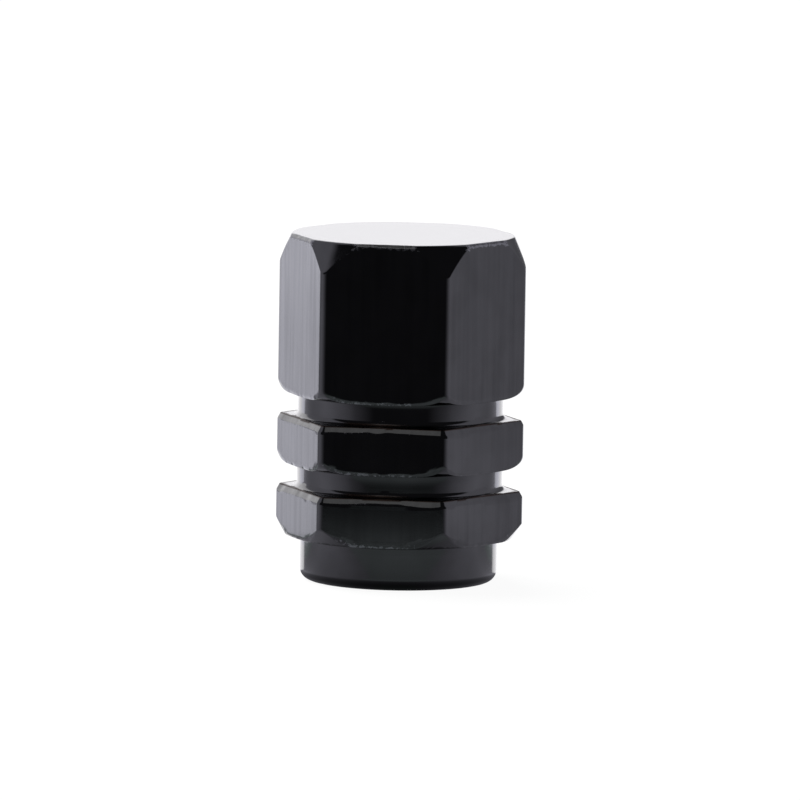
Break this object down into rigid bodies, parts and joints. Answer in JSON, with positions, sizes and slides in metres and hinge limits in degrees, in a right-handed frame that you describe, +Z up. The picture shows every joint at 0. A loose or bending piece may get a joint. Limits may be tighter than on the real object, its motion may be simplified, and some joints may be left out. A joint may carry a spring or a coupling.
{
  "type": "tyre valve cap",
  "caption": "Hexagonal black metal tyre valve cap with turned grooves and a round collar; screws onto a valve stem and seals it with a rubber ring.",
  "frame": {"origin": "middle of the foot, where the mouth of the bore opens", "axes": "+Z up along the bore's axis, from the foot to the top face; -Y out of a flat of the hexagon, +X towards a corner"},
  "size_m": [0.0126, 0.011, 0.0175],
  "materials": {
    "black_anodised": "black anodised, glossy",
    "rubber": "moulded black rubber, satin"
  },
  "bodies": {
    "root": {"cap_body": "black_anodised", "sealing_ring": "rubber"}
  },
  "joints": []
}
